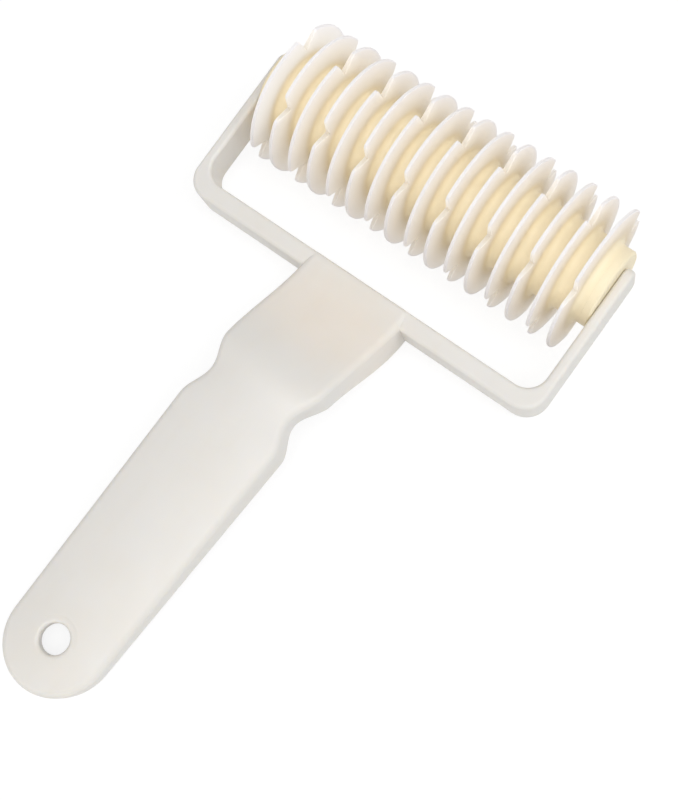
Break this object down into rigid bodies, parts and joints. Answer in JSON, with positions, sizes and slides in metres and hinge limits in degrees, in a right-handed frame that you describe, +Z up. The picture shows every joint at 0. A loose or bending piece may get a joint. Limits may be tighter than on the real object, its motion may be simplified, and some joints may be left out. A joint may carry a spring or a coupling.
{
  "type": "lattice roller cutter",
  "caption": "Hand-held kitchen roller that cuts a lattice in rolled dough: a U-shaped yoke with an arched hollow handle carries a freely turning roller of notched discs.",
  "frame": {"origin": "on the table, under the middle of the whole tool's box, with the tool lying on its discs and on the handle's end", "axes": "+X along the roller's axis, +Y from the handle's end towards the roller, +Z up"},
  "size_m": [0.121, 0.1972, 0.0436],
  "materials": {
    "yoke_plastic": "satin cream-white moulded plastic, slightly translucent",
    "disc_plastic": "satin milky translucent moulded plastic, warmer than the yoke",
    "shaft_plastic": "plain moulded plastic, hidden in the roller"
  },
  "bodies": {
    "handle": {"handle_yoke": "yoke_plastic"},
    "roller": {"roller_shaft": "shaft_plastic", "end_collar_left": "disc_plastic", "end_collar_right": "disc_plastic", "cutter_disc_01": "disc_plastic", "cutter_disc_02": "disc_plastic", "cutter_disc_03": "disc_plastic", "cutter_disc_04": "disc_plastic", "cutter_disc_05": "disc_plastic", "cutter_disc_06": "disc_plastic", "cutter_disc_07": "disc_plastic", "cutter_disc_08": "disc_plastic", "cutter_disc_09": "disc_plastic", "cutter_disc_10": "disc_plastic", "cutter_disc_11": "disc_plastic", "cutter_disc_12": "disc_plastic", "cutter_disc_13": "disc_plastic", "cutter_disc_14": "disc_plastic", "cutter_disc_15": "disc_plastic", "cutter_disc_16": "disc_plastic"}
  },
  "joints": [
    {"name": "roller_spin", "type": "hinge", "parent": "handle", "child": "roller", "pos_m": [0, 0.07677, 0.0218], "axis": [1, 0, 0], "continuous": true}
  ]
}
